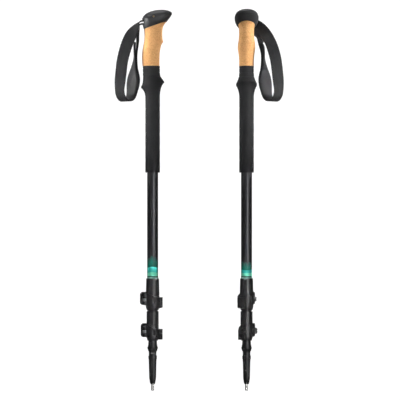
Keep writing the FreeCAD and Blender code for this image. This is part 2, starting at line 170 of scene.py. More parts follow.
# ---- materials ---------------------------------------------------------------------------
def new_material(name, base, roughness, metallic=0.0, specular=0.5):
    """A material with one principled shader, and the tools to add nodes to it."""
    material = bpy.data.materials.new(name)
    material.use_nodes = True
    material.diffuse_color = (*base, 1)
    shader = material.node_tree.nodes["Principled BSDF"]
    shader.inputs["Base Color"].default_value = (*base, 1)
    shader.inputs["Roughness"].default_value = roughness
    shader.inputs["Metallic"].default_value = metallic
    shader.inputs["Specular IOR Level"].default_value = specular
    return material, Builder(material.node_tree, shader)


class Builder:
    """Short ways to add and join shader nodes."""

    def __init__(self, tree, shader):
        self.tree, self.shader = tree, shader
        places = tree.nodes.new("ShaderNodeTexCoord").outputs
        self.where, self.uv = places["Object"], places["UV"]

    def link(self, output, socket):
        """Join an output to the socket, or set the socket to a number."""
        if hasattr(output, "is_output"):
            self.tree.links.new(output, socket)
        else:
            socket.default_value = output

    def maths(self, operation, a, b=0.0):
        node = self.tree.nodes.new("ShaderNodeMath")
        node.operation = operation
        for socket, value in zip(node.inputs, (a, b)):
            self.link(value, socket)
        return node.outputs[0]

    def sum(self, a, b):
        return self.maths("ADD", a, b)

    def product(self, a, b):
        return self.maths("MULTIPLY", a, b)

    def sine(self, value, rate):
        """The sine of the value times the rate."""
        return self.maths("SINE", self.product(value, rate))

    def magnitude(self, value):
        return self.maths("ABSOLUTE", value)

    def angle_about(self, x, y, axis):
        """The heading of (x, y) seen from an upright axis, in radians."""
        return self.maths("ARCTAN2", self.maths("SUBTRACT", y, axis.y),
                          self.maths("SUBTRACT", x, axis.x))

    def scaled(self, vector, scale):
        node = self.tree.nodes.new("ShaderNodeVectorMath")
        node.operation = "MULTIPLY"
        self.link(vector, node.inputs[0])
        node.inputs[1].default_value = scale
        return node.outputs[0]

    def split(self, vector):
        node = self.tree.nodes.new("ShaderNodeSeparateXYZ")
        self.link(vector, node.inputs[0])
        return node.outputs

    def noise(self, vector, scale, detail=3.0, roughness=0.5):
        node = self.tree.nodes.new("ShaderNodeTexNoise")
        self.link(vector, node.inputs["Vector"])
        node.inputs["Scale"].default_value = scale
        node.inputs["Detail"].default_value = detail
        node.inputs["Roughness"].default_value = roughness
        return node.outputs["Fac"]

    def voronoi(self, vector, scale, feature="F1", output="Distance"):
        node = self.tree.nodes.new("ShaderNodeTexVoronoi")
        node.feature = feature
        self.link(vector, node.inputs["Vector"])
        node.inputs["Scale"].default_value = scale
        return node.outputs[output]

    def ramp(self, value, stops):
        """A colour ramp from (position, colour) stops."""
        node = self.tree.nodes.new("ShaderNodeValToRGB")
        elements = node.color_ramp.elements
        while len(elements) < len(stops):
            elements.new(0.5)
        for element, (position, colour) in zip(elements, stops):
            element.position = position
            element.color = (*colour, 1)
        self.link(value, node.inputs["Fac"])
        return node.outputs["Color"]

    def mix(self, share, a, b):
        node = self.tree.nodes.new("ShaderNodeMix")
        node.data_type = "RGBA"
        self.link(share, node.inputs["Factor"])
        for value, socket in ((a, node.inputs[6]), (b, node.inputs[7])):
            self.link(value if hasattr(value, "is_output") else (*value, 1), socket)
        return node.outputs[2]

    def span(self, value, low, high, to_low=0.0, to_high=1.0):
        """The value carried from one range of numbers to another, and kept inside it."""
        node = self.tree.nodes.new("ShaderNodeMapRange")
        self.link(value, node.inputs["Value"])
        for name, number in (("From Min", low), ("From Max", high),
                             ("To Min", to_low), ("To Max", to_high)):
            node.inputs[name].default_value = number
        return node.outputs["Result"]

    def colour(self, output):
        self.link(output, self.shader.inputs["Base Color"])

    def rough(self, output):
        self.link(output, self.shader.inputs["Roughness"])

    def bump(self, height, distance, strength=1.0):
        node = self.tree.nodes.new("ShaderNodeBump")
        node.inputs["Strength"].default_value = strength
        node.inputs["Distance"].default_value = distance
        self.link(height, node.inputs["Height"])
        self.link(node.outputs["Normal"], self.shader.inputs["Normal"])


CORK_GRAINS = 620                # cork grains in a metre


def cork_material():
    """Pressed cork: warm grains of mixed tone, thin darker joints and a few dark flecks."""
    material, add = new_material("cork", (0.78, 0.42, 0.16), 0.72, specular=0.25)
    wobble = add.noise(add.where, 180, 2)
    grains = add.voronoi(add.where, CORK_GRAINS, output="Color")
    tone = add.split(grains)[0]
    broad = add.noise(add.where, 70, 3)
    share = add.sum(add.product(tone, 0.55), add.product(broad, 0.45))
    base = add.ramp(share, [(0.10, (0.64, 0.320, 0.110)), (0.40, (0.76, 0.400, 0.150)),
                            (0.65, (0.82, 0.450, 0.180)), (0.95, (0.88, 0.520, 0.230))])
    fleck = add.span(add.noise(add.where, 1100, 2, 0.6), 0.67, 0.73)
    base = add.mix(add.product(fleck, 0.55), base, (0.16, 0.07, 0.025))
    edges = add.voronoi(add.where, CORK_GRAINS, "DISTANCE_TO_EDGE")
    joints = add.span(edges, 0.0, 0.05, 1.0, 0.0)
    base = add.mix(add.product(joints, add.span(wobble, 0.4, 0.7, 0.0, 0.35)),
                   base, (0.34, 0.16, 0.06))
    add.colour(base)
    add.rough(add.span(tone, 0, 1, 0.62, 0.82))
    height = add.maths("SUBTRACT", add.noise(add.where, 900, 3), add.product(joints, 0.5))
    add.bump(height, 0.0002, 0.5)
    return material


def foam_material():
    """Closed-cell foam: charcoal, matt, with fine open cells on the surface."""
    material, add = new_material("eva_foam", (0.021, 0.0215, 0.0225), 0.75, specular=0.2)
    cells = add.voronoi(add.where, 2600)
    cloud = add.noise(add.where, 45, 3)
    add.colour(add.ramp(cloud, [(0.3, (0.017, 0.0174, 0.0185)), (0.7, (0.026, 0.0264, 0.0275))]))
    add.rough(add.span(cloud, 0.3, 0.7, 0.66, 0.80))
    add.bump(cells, 0.00012, 0.5)
    return material


def plastic_material(name, base, roughness, grain=2200.0):
    """Moulded plastic with a fine eroded grain and slightly uneven gloss."""
    material, add = new_material(name, base, roughness, specular=0.5)
    cloud = add.noise(add.where, 90, 4)
    darker, lighter = [tuple(c * f for c in base) for f in (0.85, 1.2)]
    add.colour(add.ramp(cloud, [(0.3, darker), (0.7, lighter)]))
    add.rough(add.span(cloud, 0.3, 0.7, roughness - 0.05, roughness + 0.07))
    add.bump(add.noise(add.where, grain, 2), 0.00006, 0.6)
    return material


RIBS, PICKS = 2600, 2400         # radians in a metre across the webbing, and along it
QUARTER_TURN = 1.57              # in radians


def webbing_material():
    """Woven black webbing: ribs along the strap, picks across, and brighter worn threads."""
    material, add = new_material("webbing", (0.015, 0.015, 0.016), 0.7, specular=0.3)
    across, along, _ = add.split(add.uv)
    ribs = add.sine(across, RIBS)
    shift = add.product(add.maths("SIGN", ribs), QUARTER_TURN)
    picks = add.maths("SINE", add.sum(add.product(along, PICKS), shift))
    weave = add.product(add.magnitude(ribs), add.magnitude(picks))
    cloud = add.noise(add.where, 120, 3)
    thread = add.mix(weave, (0.006, 0.006, 0.007), (0.022, 0.022, 0.024))
    add.colour(add.mix(add.span(cloud, 0.45, 0.75, 0, 0.35), thread, (0.034, 0.034, 0.036)))
    add.shader.inputs["Sheen Weight"].default_value = 0.05
    add.shader.inputs["Sheen Roughness"].default_value = 0.4
    add.bump(weave, 0.00022, 0.8)
    return material


def pad_material():
    """The strap pad's brushed lining, uneven in tone."""
    material, add = new_material("strap_pad", (0.031, 0.031, 0.033), 0.62, specular=0.25)
    nap = add.noise(add.where, 3200, 2)
    cloud = add.noise(add.where, 70, 3)
    add.colour(add.mix(add.span(cloud, 0.3, 0.7), (0.024, 0.024, 0.026), (0.038, 0.038, 0.040)))
    add.shader.inputs["Sheen Weight"].default_value = 0.08
    add.bump(add.product(nap, 0.25), 0.0002, 0.6)
    return material


def tube_nodes(add, base, roughness):
    """Drawn and anodised tube: fine lines along the tube, in the tone and in the gloss."""
    lines = add.noise(add.scaled(add.where, (1, 1, 0.02)), 2600, 2)
    cloud = add.noise(add.where, 40, 3)
    share = add.sum(add.product(lines, 0.6), add.product(cloud, 0.4))
    darker, lighter = [tuple(c * f for c in base) for f in (0.82, 1.2)]
    add.rough(add.span(share, 0.3, 0.7, roughness - 0.06, roughness + 0.08))
    add.bump(lines, 0.00002, 0.5)
    return add.ramp(share, [(0.3, darker), (0.7, lighter)])


TUBE_GREY = (0.050, 0.050, 0.053)
TUBE_METALLIC = 0.75
TUBE_ROUGHNESS = 0.36            # of the printed tube, where it is bare
PRINT_ROUGHNESS = 0.65
# Where each printed band starts, in metres above the tips, and its colour, from the bottom up.
PRINT_BANDS = ((0.1840, (0.25, 0.50, 0.43)), (0.1862, (0.004, 0.060, 0.040)),
               (0.1878, (0.19, 0.80, 0.58)), (0.1940, (0.04, 0.57, 0.50)))
DARK_GREEN = (0.005, 0.150, 0.105)
DARK_FROM = {"left": 0.2025, "right": 0.1990}
WAVY_FROM = 0.19                 # bands that start higher than this follow the hills
PRINT_TOP = {"left": 0.2165, "right": 0.2110}
PRINT_FADE, FADE_SHARE = 0.008, 0.7    # below the top edge the dark green runs into the grey
# The printed hills: how many go round the tube, how high, and how far the bands below follow them.
PRINT_HILLS = {"left": (3, 0.0022, 0.35), "right": (1, 0.0030, 0.45)}
PEAK_RATE, PEAK_RISE = 4.5, 0.0030     # smaller peaks on the top edge alone


def printed_tube_material(side):
    """The upper tube: grey, with lacquered green bands above the lock and hills on top of them."""
    material, add = new_material("printed_tube_" + side, TUBE_GREY, TUBE_ROUGHNESS,
                                 metallic=TUBE_METALLIC)
    grey = tube_nodes(add, TUBE_GREY, TUBE_ROUGHNESS)
    x, y, z = add.split(add.where)
    angle = add.angle_about(x, y, FRAMES[side].translation)
    count, rise, follow = PRINT_HILLS[side]
    hills = add.product(add.sine(angle, count), rise)
    peaks = add.product(add.magnitude(add.sine(angle, PEAK_RATE)), PEAK_RISE)
    top = add.sum(add.sum(hills, peaks), PRINT_TOP[side])
    colour = grey
    for start, paint in (*PRINT_BANDS, (DARK_FROM[side], DARK_GREEN)):
        wave = add.product(hills, follow if start > WAVY_FROM else 0.0)
        inside = add.maths("GREATER_THAN", z, add.sum(wave, start))
        colour = add.mix(inside, colour, paint)
    below_top = add.maths("SUBTRACT", top, z)
    colour = add.mix(add.span(below_top, PRINT_FADE, 0.0, 0.0, FADE_SHARE), colour, grey)
    colour = add.mix(add.maths("GREATER_THAN", z, top), colour, grey)
    add.colour(colour)
    printed = add.product(add.maths("GREATER_THAN", z, PRINT_BANDS[0][0]),
                          add.maths("LESS_THAN", z, top))
    add.link(add.span(printed, 0, 1, TUBE_METALLIC, 0.0), add.shader.inputs["Metallic"])
    add.rough(add.span(printed, 0, 1, TUBE_ROUGHNESS, PRINT_ROUGHNESS))
    return material


# The length scale: marks in a metre, how much of the pitch each fills, half its length round the
# tube in radians, and how far above the tube's lower end the first one is.
MARKS, MARK_SHARE, MARK_HALF_ANGLE, FIRST_MARK = 100, 0.08, 0.35, 0.06
MARK_WHITE = (0.62, 0.62, 0.60)


def scale_tube_material(node):
    """A sliding tube with a length scale: short white lines every centimetre on its front."""
    material, add = new_material("scale_" + node, TUBE_GREY, 0.3, metallic=TUBE_METALLIC)
    grey = tube_nodes(add, TUBE_GREY, 0.32)
    low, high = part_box(node)
    x, y, z = add.split(add.where)
    pitch = add.maths("FRACT", add.product(add.maths("SUBTRACT", z, low.z), MARKS))
    line = add.maths("LESS_THAN", pitch, MARK_SHARE)
    angle = add.angle_about(x, y, (low + high) / 2)
    front = add.maths("LESS_THAN", add.magnitude(add.sum(angle, QUARTER_TURN)), MARK_HALF_ANGLE)
    above = add.maths("GREATER_THAN", z, low.z + FIRST_MARK)
    mark = add.product(add.product(line, front), above)
    add.colour(add.mix(mark, grey, MARK_WHITE))
    return material


def metal_material(name, base, roughness, lines_axis=(1, 1, 0.05)):
    """Turned or ground bare metal with fine tool lines and slight tarnish."""
    material, add = new_material(name, base, roughness, metallic=1.0)
    lines = add.noise(add.scaled(add.where, lines_axis), 2400, 2)
    cloud = add.noise(add.where, 150, 3)
    dull = tuple(c * 0.72 for c in base)
    add.colour(add.mix(add.span(cloud, 0.5, 0.75), base, dull))
    add.rough(add.span(lines, 0.3, 0.7, roughness - 0.08, roughness + 0.12))
    add.bump(lines, 0.00002, 0.5)
    return material


def nylon_material():
    """Natural nylon: milky and slightly see-through."""
    material, add = new_material("nylon", (0.72, 0.71, 0.66), 0.4)
    add.shader.inputs["Subsurface Weight"].default_value = 0.2
    add.shader.inputs["Subsurface Scale"].default_value = 0.002
    cloud = add.noise(add.where, 220, 3)
    add.colour(add.ramp(cloud, [(0.3, (0.66, 0.65, 0.60)), (0.7, (0.76, 0.75, 0.70))]))
    add.bump(cloud, 0.00005, 0.4)
    return material


# How far edges are rounded, in millimetres.
CLAMP_EDGE, LEVER_EDGE, SCREW_EDGE, COLLAR_EDGE, FERRULE_EDGE = 0.3, 0.35, 0.2, 0.35, 0.3
EDGE_DEGREES, FLAT_DEGREES = 38, 1     # sharper edges are rounded, flatter ones dissolved
SAME_POINT = 0.000002                  # points nearer than this are one point
WINDOW_RADIUS, WINDOW_REACH = 1.4, 12  # the reach is from the barrel nut's middle outward


def dress_frame():
    """Materials for the CAD nodes that stay as they are, and rounded edges for the moulded and
    turned pieces that show."""
    head_inside = plastic_material("inner_plastic", (0.030, 0.030, 0.032), 0.6)
    clamp = plastic_material("clamp_plastic", (0.024, 0.024, 0.025), 0.33, 1800)
    lever = plastic_material("lever_plastic", (0.017, 0.017, 0.018), 0.30, 1800)
    tip_plastic = plastic_material("tip_plastic", (0.018, 0.018, 0.019), 0.33, 1500)
    steel = metal_material("plated_steel", (0.56, 0.56, 0.57), 0.34)
    bright = metal_material("bright_steel", (0.90, 0.90, 0.89), 0.55)
    carbide = metal_material("carbide", (0.80, 0.79, 0.77), 0.30, (0.2, 0.2, 1))
    brass = metal_material("brass", (0.42, 0.33, 0.17), 0.38)
    nylon, webbing = nylon_material(), bpy.data.materials["webbing"]
    plain = {"strap_pin": brass, "strap_wedge": head_inside, "strap_tail": webbing,
             "grip_core": head_inside, "middle_bushing": nylon, "lower_bushing": nylon,
             "carbide_tip": carbide, "upper_cam_washer": steel, "lower_cam_washer": steel,
             "upper_barrel_nut": bright, "lower_barrel_nut": bright}
    rounded = {"upper_clamp": (clamp, "clamp", CLAMP_EDGE),
               "lower_clamp": (clamp, "clamp", CLAMP_EDGE),
               "upper_tension_screw": (steel, "steel", SCREW_EDGE),
               "lower_tension_screw": (steel, "steel", SCREW_EDGE),
               "tip_collar": (tip_plastic, "ferrule", COLLAR_EDGE),
               "ferrule": (tip_plastic, "ferrule", FERRULE_EDGE)}
    for side in SIDES:
        for name, material in plain.items():
            give(frame["nodes"][side + "_" + name], material)
        for name, (material, slot_name, radius) in rounded.items():
            soften(side + "_" + name, material, radius)
        for lock in ("upper", "lower"):
            window = window_cutter(side, lock)
            soften(f"{side}_{lock}_lever", lever, LEVER_EDGE, [window])
        give(frame["nodes"][side + "_upper_tube"], printed_tube_material(side))
        for name in ("middle_tube", "lower_tube"):
            node = side + "_" + name
            give(frame["nodes"][node], scale_tube_material(node))


def window_cutter(side, lock):
    """A cylinder to cut a lever's head with, for the round window where its barrel nut shows."""
    nut = sum(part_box(f"{side}_{lock}_barrel_nut"), Vector()) / 2
    forward = nut - sum(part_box(f"{side}_{lock}_tension_screw"), Vector()) / 2
    forward.z = 0
    forward.normalize()
    place = Matrix.Translation(nut + forward * WINDOW_REACH / 2 * MM)
    turn = forward.to_track_quat("Z", "Y").to_matrix().to_4x4()
    return cylinder("window_tool", place @ turn, WINDOW_RADIUS, WINDOW_REACH, 32)


def soften(node, material, radius, tools=()):
    """A copy of a CAD piece with its sharp edges rounded over, by a radius in millimetres, and
    the tools cut out of it."""
    source = frame["nodes"][node]
    thing = make_object(node + "_rounded", [v.co for v in source.data.vertices],
                        [tuple(p.vertices) for p in source.data.polygons])
    edit = bmesh.new()
    edit.from_mesh(thing.data)
    bmesh.ops.remove_doubles(edit, verts=edit.verts, dist=SAME_POINT)
    bmesh.ops.dissolve_limit(edit, angle_limit=math.radians(FLAT_DEGREES), verts=edit.verts,
                             edges=edit.edges)
    edit.to_mesh(thing.data)
    edit.free()
    rounding = thing.modifiers.new("rounding", "BEVEL")
    rounding.width, rounding.segments = radius * MM, 2
    rounding.limit_method, rounding.angle_limit = "ANGLE", math.radians(EDGE_DEGREES)
    rounding.use_clamp_overlap = False
    cut(thing, tools)
    finish_piece(thing, material, source["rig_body"], node, crease_degrees=50)


def give(thing, material):
    thing.data.materials.clear()
    thing.data.materials.append(material)


# ---- grip head ---------------------------------------------------------------------------
HEAD_RINGS = (            # z front, z rear, x front, x rear, half width, from the bottom edge up
    (604.8, 592.4, 23.3, -14.4, 15.2), (607.0, 595.4, 24.8, -15.3, 17.2),
    (609.6, 600.6, 26.8, -16.6, 19.0), (612.4, 605.2, 28.8, -17.3, 19.6),
    (615.4, 609.0, 30.9, -17.2, 19.5), (618.0, 612.0, 32.0, -16.2, 18.6),
    (620.4, 615.2, 30.6, -13.7, 16.9), (622.3, 618.4, 27.0, -10.0, 13.9),
    (623.7, 621.2, 22.0, -3.8, 9.4), (624.2, 623.2, 16.2, 3.0, 4.6))
HEAD_SQUARENESS = 2.3
CREASE_RING, CREASE_DEPTH, CREASE_WIDTH = 5, 0.9, 1.1     # the width is in levels of the surface
SLOT_CENTRE = (-18.5, 0, 603.4)
SLOT_RADIUS, SLOT_HALF_WIDTH, SLOT_Z = 5.2, 10.9, (599.6, 607.9)
SLOT_RUN_X, SLOT_NECK_X, SLOT_NECK_TOP = (-20, 0.8), (-1.3, 0.8), 610.0
PIN_PLACE, PIN_ROOM_RADIUS, PIN_BORE_RADIUS, PIN_BORE_REACH = (2.0, 0, 612.0), 4.2, 1.7, 30


def cylinder(name, matrix, radius, depth, sides):
    """A cylinder along the matrix's z axis, to cut with."""
    bpy.ops.mesh.primitive_cylinder_add(vertices=sides, radius=radius * MM, depth=depth * MM)
    tool = bpy.context.object
    tool.name = name
    tool.matrix_world = matrix
    return tool


def cutter(name, side, centre, radius, half_width):
    """A cylinder along a pole's y axis, to cut with."""
    turn = Matrix.Rotation(math.radians(90), 4, "X")
    matrix = FRAMES[side] @ Matrix.Translation(Vector(centre) * MM) @ turn
    return cylinder(name, matrix, radius, 2 * half_width, 48)


def box_cutter(name, side, x, y, z):
    """A box between limits on a pole's own axes, to cut with."""
    bpy.ops.mesh.primitive_cube_add(size=1)
    tool = bpy.context.object
    tool.name = name
    size = Matrix.Diagonal(((x[1] - x[0]) * MM, (y[1] - y[0]) * MM, (z[1] - z[0]) * MM, 1))
    centre = Vector(((x[0] + x[1]) / 2, (y[0] + y[1]) / 2, (z[0] + z[1]) / 2)) * MM
    tool.matrix_world = FRAMES[side] @ Matrix.Translation(centre) @ size
    return tool


def cut(thing, tools):
    """Apply the thing's modifiers, then cut the tools out of it and remove them."""
    for tool in tools:
        modifier = thing.modifiers.new("cut", "BOOLEAN")
        modifier.operation = "DIFFERENCE"
        modifier.solver = "EXACT"
        modifier.object = tool
    graph = bpy.context.evaluated_depsgraph_get()
    mesh = bpy.data.meshes.new_from_object(thing.evaluated_get(graph), depsgraph=graph)
    thing.modifiers.clear()
    thing.data = mesh
    for tool in tools:
        bpy.data.objects.remove(tool)


def grip_head(side, material):
    """The rubber head, creased round its edge, with the strap's slot and the pin's bore."""
    count, levels = 96, 64
    surface = grip_surface(HEAD_RINGS, count, levels, HEAD_SQUARENESS)
    crease_row = CREASE_RING / (len(HEAD_RINGS) - 1) * (levels - 1)
    centre = surface.mean(axis=1, keepdims=True)
    for row in range(levels):
        groove = CREASE_DEPTH * math.exp(-((row - crease_row) / CREASE_WIDTH) ** 2)
        surface[row] -= unit(surface[row] - centre[row]) * groove
    points = to_row(surface.reshape(-1, 3), side)
    head = make_object(side + "_head_shell", points, capped(levels, count))
    core = bpy.data.objects.new("core_tool", frame["nodes"][side + "_grip_core"].data.copy())
    bpy.context.scene.collection.objects.link(core)
    sides = (-SLOT_HALF_WIDTH, SLOT_HALF_WIDTH)
    cut(head, [core, cutter("slot_tool", side, SLOT_CENTRE, SLOT_RADIUS, SLOT_HALF_WIDTH),
               box_cutter("run_tool", side, SLOT_RUN_X, sides, SLOT_Z),
               box_cutter("neck_tool", side, SLOT_NECK_X, sides, (SLOT_Z[0], SLOT_NECK_TOP)),
               cutter("room_tool", side, PIN_PLACE, PIN_ROOM_RADIUS, SLOT_HALF_WIDTH),
               cutter("bore_tool", side, PIN_PLACE, PIN_BORE_RADIUS, PIN_BORE_REACH)])
    finish_piece(head, material, side + "_upper", side + "_grip_head")


def finish_piece(thing, material, body, node, crease_degrees=35):
    """Material, smooth shading with sharp creases, and the piece's place in the frame."""
    give(thing, material)
    thing.data.shade_smooth()
    thing.data.set_sharp_from_angle(angle=math.radians(crease_degrees))
    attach(thing, body)
    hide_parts(node)


# ---- cork --------------------------------------------------------------------------------
CORK_RINGS = (
    (532.0, 532.0, 10.9, -16.4, 11.8), (533.2, 533.2, 11.2, -16.7, 12.05),
    (542.0, 542.0, 11.2, -17.3, 12.1), (552.0, 552.0, 11.6, -17.1, 13.0),
    (560.0, 560.0, 12.7, -16.2, 14.3), (566.0, 566.0, 14.0, -15.1, 14.2),
    (569.6, 568.0, 15.9, -14.7, 13.9), (571.8, 570.0, 17.4, -14.3, 13.6),
    (574.2, 574.0, 16.7, -13.8, 13.1), (580.0, 580.0, 16.0, -13.3, 12.5),
    (588.0, 586.0, 16.0, -13.4, 12.3), (594.0, 588.5, 16.6, -13.6, 12.4),
    (599.0, 590.5, 18.4, -13.8, 12.8), (604.6, 592.2, 22.4, -13.9, 13.4))


def cork_grip(side, material):
    """The cork sleeve, with its finger ridge in front."""
    count, levels = 96, 120
    surface = grip_surface(CORK_RINGS, count, levels)
    points = to_row(surface.reshape(-1, 3), side)
    cork = make_object(side + "_cork", points, capped(levels, count))
    finish_piece(cork, material, side + "_upper", side + "_cork_grip")


# ---- foam --------------------------------------------------------------------------------
FOAM_RINGS = (
    (358.0, 358.0, 10.4, -10.4, 10.4), (358.9, 358.9, 11.5, -11.5, 11.5),
    (361.0, 361.0, 12.0, -12.0, 12.0), (400.0, 400.0, 12.0, -12.0, 12.0),
    (440.0, 440.0, 12.0, -12.0, 12.0), (480.0, 478.0, 12.0, -12.0, 12.0),
    (487.5, 484.0, 12.3, -12.4, 12.4), (494.0, 488.5, 13.4, -13.4, 13.4),
    (500.0, 493.0, 15.4, -16.0, 15.2), (504.0, 496.0, 18.2, -18.6, 16.9),
    (505.6, 497.5, 19.3, -19.1, 17.25), (507.2, 499.4, 18.6, -18.3, 16.9),
    (511.0, 503.5, 15.8, -16.6, 15.0), (516.0, 511.0, 12.8, -15.8, 12.9),
    (521.0, 518.0, 12.0, -15.9, 12.1), (526.0, 525.0, 11.95, -16.0, 12.0),
    (531.2, 531.2, 11.9, -16.0, 12.0), (532.0, 532.0, 11.4, -15.5, 11.5))
FOAM_RADIUS = 12.0
DIAMOND_LENGTH, DIAMOND_COUNT = 21.0, 8
GROOVE_DEPTH, GROOVE_WIDTH = 0.5, 0.7
GROOVES_FROM, GROOVES_TO = (364, 6), (484, 8)      # where they end, and over what length they fade
NECK_RINGS, NECK_RING_WIDTH = (514.8, 521.5, 528.0), 0.6


def foam_grip(side, material):
    """The foam sleeve, with crossing spiral grooves that leave long diamonds on the straight part
    and rings round the neck above its collar."""
    count, levels = 160, 360
    surface = grip_surface(FOAM_RINGS, count, levels)
    centre = surface.mean(axis=1, keepdims=True)
    centre[:, :, :2] = surface[:, :, :2].mean(axis=1, keepdims=True)
    outward = surface - centre
    outward[:, :, 2] = 0
    outward = unit(outward)
    angle = np.arctan2(outward[:, :, 1], outward[:, :, 0])
    height = surface[:, :, 2]
    pitch_angle = 2 * math.pi / DIAMOND_COUNT
    slope = math.hypot(1 / (FOAM_RADIUS * pitch_angle), 1 / DIAMOND_LENGTH)
    depth = np.zeros_like(height)
    for direction in (-1, 1):
        phase = angle / pitch_angle + direction * height / DIAMOND_LENGTH
        away = np.abs(phase - np.round(phase)) / slope
        depth = np.maximum(depth, np.exp(-(away / GROOVE_WIDTH) ** 2))
    (low, low_fade), (high, high_fade) = GROOVES_FROM, GROOVES_TO
    depth *= np.clip((height - low) / low_fade, 0, 1) * np.clip((high - height) / high_fade, 0, 1)
    for ring_height in NECK_RINGS:
        ring = np.exp(-((height - ring_height) / NECK_RING_WIDTH) ** 2)
        depth = np.maximum(depth, ring)
    surface = surface - outward * (depth * GROOVE_DEPTH)[:, :, None]
    points = to_row(surface.reshape(-1, 3), side)
    foam = make_object(side + "_foam", points, capped(levels, count))
    finish_piece(foam, material, side + "_upper", side + "_foam_grip", crease_degrees=50)


# ---- strap -------------------------------------------------------------------------------
# Stations along each strap, in millimetres about its pole's axis but along the row's X, Y and Z:
# a point on the middle line, the way the width points (made square to the run later) and the
# width. The outer side runs down from the slot, the inner side back up to it.
def level(heading):
    """A level direction, in degrees from +X."""
    return (math.cos(math.radians(heading)), math.sin(math.radians(heading)), 0.0)


OUTER_TOP = {
    "left": (
        ((-11.8, 0.0, 606.5), level(-90), 18.0), ((-16.0, 0.0, 606.3), level(-90), 18.0),
        ((-20.6, 0.0, 605.4), level(-88), 18.0), ((-25.4, -0.8, 600.6), level(-66), 19.0),
        ((-29.9, -2.8, 592.5), level(-34), 20.0), ((-35.6, -5.5, 582.0), level(-12), 20.0),
        ((-41.2, -8.0, 569.0), level(-9), 20.0)),
    "right": (
        ((0.0, 11.8, 606.5), (-1, 0, 0), 18.0), ((0.0, 16.0, 606.3), (-1, 0, 0), 18.0),
        ((0.0, 20.6, 605.4), (-1, 0, 0), 18.0), ((1.2, 25.0, 604.9), (-0.93, 0.1, 0.35), 18.0),
        ((4.8, 28.3, 604.2), (-0.6, 0.1, 0.8), 18.0), ((10.0, 28.6, 603.1), (-0.1, 0, 1), 18.5),
        ((16.2, 26.0, 601.2), (0.45, 0, 0.86), 19.0), ((23.2, 21.0, 595.8), (0.68, 0, 0.73), 19.5),
        ((30.0, 13.5, 587.3), (0.8, 0.1, 0.58), 20.0),
        ((35.6, 3.5, 578.3), (0.92, 0.25, 0.3), 20.0),
        ((40.2, -4.5, 568.5), (0.96, 0.2, 0.08), 20.0)),
}
OUTER_RUN = (
    ((-45.0, -10.3, 557.0), level(-13), 20.0), ((-48.9, -11.8, 541.0), level(-19), 20.0),
    ((-51.2, -12.5, 523.0), level(-21), 20.0), ((-52.8, -12.3, 507.0), level(-24), 20.0))
INNER_RUN = (
    ((-28.0, 6.0, 551.0), level(-80), 18.0), ((-29.2, 8.0, 537.0), level(-70), 18.0),
    ((-30.2, 9.6, 524.0), level(-54), 18.5), ((-31.3, 10.6, 512.0), level(-36), 19.5),
    ((-32.5, 11.0, 502.0), level(-32), 20.0))
INNER_TOP = {
    "left": (
        ((-11.8, 0.0, 601.1), level(-90), 18.0), ((-16.0, 0.0, 601.2), level(-90), 18.0),
        ((-20.6, 0.0, 600.8), level(-88), 18.0), ((-23.2, 1.2, 592.0), level(-78), 18.0),
        ((-25.0, 2.6, 580.0), level(-74), 18.0), ((-26.2, 4.2, 566.0), level(-79), 18.0)),
    "right": (
        ((0.0, 11.8, 601.1), (-1, 0, 0), 18.0), ((0.0, 16.0, 601.2), (-1, 0, 0), 18.0),
        ((0.0, 20.6, 601.2), (-1, 0, 0), 18.0), ((1.0, 27.0, 600.8), (-0.93, 0.1, 0.35), 18.0),
        ((4.8, 31.6, 600.0), (-0.6, 0.1, 0.8), 18.0), ((10.5, 32.0, 598.6), (-0.1, 0, 1), 18.0),
        ((16.0, 29.4, 595.6), (0.3, 0, 0.95), 18.0), ((20.8, 23.8, 589.5), (0.45, 0.2, 0.8), 18.0),
        ((22.8, 16.5, 580.0), (0.45, 0.65, 0.45), 18.0),
        ((23.4, 10.3, 568.0), (0.25, 0.95, 0.1), 18.0)),
}
RIGHT_SHIFT = -1.2                            # the right loop hangs this much nearer its pole
TURN_CENTRE = np.array((-43.75, -0.5, 490.5))
TURN_HALF = np.array((-9.75, -11.5, 0.0))     # from the turn's middle to the outer run
TURN_RADIUS = float(np.linalg.norm(TURN_HALF))
TURN_ACROSS = (-TURN_HALF[1] / TURN_RADIUS, TURN_HALF[0] / TURN_RADIUS, 0.0)
STRAP_STEPS = 420
LINE_ROUNDS, WIDTH_ROUNDS = 25, 60            # how much the line and its width way are evened out
WEB_HALF_THICK, WEB_LIFT = 0.8, 1.0
WEB_EDGE = 0.35                               # how far in from each side its flat faces end
LIFT_RUN = 14                                 # the webbing rises off the line over this length
PAD_TOP = (-25.6, 3.6, 572.0)
PAD_PEEL = 3.0                                # the pad's upper end stands this far off the webbing
PAD_FOOT_DEGREES = 82.0                       # how far round the turn the pad reaches
PAD_FOOT = tuple(TURN_CENTRE + TURN_HALF * math.cos(math.radians(PAD_FOOT_DEGREES))
                 - np.array((0, 0, TURN_RADIUS * math.sin(math.radians(PAD_FOOT_DEGREES)))))
PAD_SHAPE = ((0, 0.18, 0.36, 0.5, 0.64, 0.78, 1), (19.5, 23.5, 26.5, 26.8, 23.5, 20.0, 17.0))
PAD_ROUND, PAD_CROWN = 7.0, 1.1               # the length of its rounded ends, and its crown
PAD_POINTS = 29


def turn_stations():
    """The loop's lower half circle, from the outer side to the inner side."""
    stations = []
    for degrees in range(0, 181, 20):
        angle = math.radians(degrees)
        point = TURN_CENTRE + TURN_HALF * math.cos(angle)
        point[2] -= TURN_RADIUS * math.sin(angle)
        stations.append((tuple(point), TURN_ACROSS, 20.0))
    return stations


def mirrored(stations):
    """The same stations on the other side of the pole."""
    return [((RIGHT_SHIFT - x, y, z), (wx, -wy, -wz), width)
            for (x, y, z), (wx, wy, wz), width in stations]


def relaxed(values, rounds):
    """Values with their small kinks evened out; the two ends stay."""
    values = values.copy()
    for _ in range(rounds):
        values[1:-1] = values[1:-1] / 2 + (values[:-2] + values[2:]) / 4
    return values


